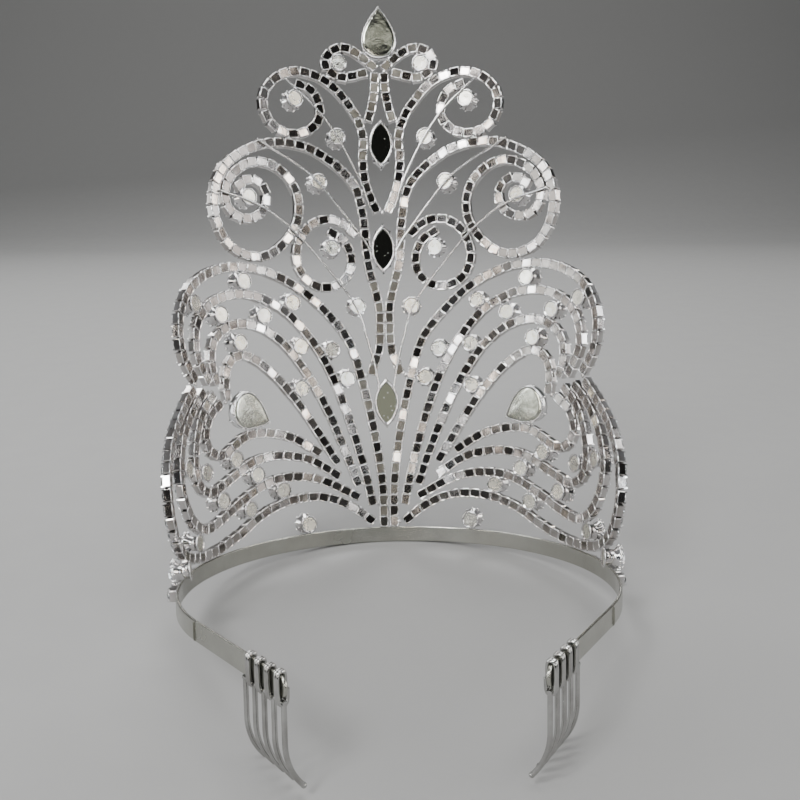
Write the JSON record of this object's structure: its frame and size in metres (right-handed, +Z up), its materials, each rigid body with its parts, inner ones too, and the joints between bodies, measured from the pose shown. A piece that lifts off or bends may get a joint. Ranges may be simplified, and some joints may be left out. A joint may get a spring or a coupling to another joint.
{
  "type": "pageant crown",
  "caption": "Tall open pageant crown: cup chain arches and scrolls set with crystals, standing on a horseshoe metal band with a wire hair comb at each end.",
  "frame": {"origin": "on the table the crown stands on, under the middle of the box round it", "axes": "+Z up from the table, -Y to the crown's front, +X to the wearer's left"},
  "size_m": [0.1526, 0.2114, 0.2093],
  "materials": {
    "cup_chain": "clear crystals in bright silver-plated cups, counted as glass because crystal is most of the weight",
    "band_metal": "silver plate, brushed satin inside with bright edges",
    "comb_wire": "plated round wire, bright",
    "support_wire": "plated round wire, bright",
    "setting_metal": "bright silver plate, satin on the closed backs",
    "clear_crystal": "cut and polished",
    "foiled_crystal": "cut and polished, dark mirror foil behind"
  },
  "bodies": {
    "root": {"band": "band_metal", "band_chain": "cup_chain", "top_loop_left": "cup_chain", "top_loop_right": "cup_chain", "stem_left": "cup_chain", "stem_right": "cup_chain", "upper_scroll_left": "cup_chain", "upper_scroll_right": "cup_chain", "main_scroll_left": "cup_chain", "main_scroll_right": "cup_chain", "small_scroll_left": "cup_chain", "small_scroll_right": "cup_chain", "arch_1_left": "cup_chain", "arch_1_right": "cup_chain", "arch_2_left": "cup_chain", "arch_2_right": "cup_chain", "arch_3_left": "cup_chain", "arch_3_right": "cup_chain", "arch_4_left": "cup_chain", "arch_4_right": "cup_chain", "base_1_left": "cup_chain", "base_1_right": "cup_chain", "base_2_left": "cup_chain", "base_2_right": "cup_chain", "base_3_left": "cup_chain", "base_3_right": "cup_chain", "base_4_left": "cup_chain", "base_4_right": "cup_chain", "high_wire_left": "support_wire", "high_wire_right": "support_wire", "mid_wire_left": "support_wire", "mid_wire_right": "support_wire", "low_wire_left": "support_wire", "low_wire_right": "support_wire", "comb_left": "comb_wire", "comb_right": "comb_wire", "upper_round_settings": "setting_metal", "upper_round_stones": "clear_crystal", "arch_round_settings": "setting_metal", "arch_round_stones": "clear_crystal", "base_round_settings": "setting_metal", "base_round_stones": "clear_crystal", "top_pear_setting": "setting_metal", "left_pear_setting": "setting_metal", "right_pear_setting": "setting_metal", "high_marquise_setting": "setting_metal", "mid_marquise_setting": "setting_metal", "low_marquise_setting": "setting_metal", "top_pear_stone": "foiled_crystal", "left_pear_stone": "foiled_crystal", "right_pear_stone": "foiled_crystal", "high_marquise_stone": "foiled_crystal", "mid_marquise_stone": "foiled_crystal", "low_marquise_stone": "foiled_crystal"}
  },
  "joints": []
}
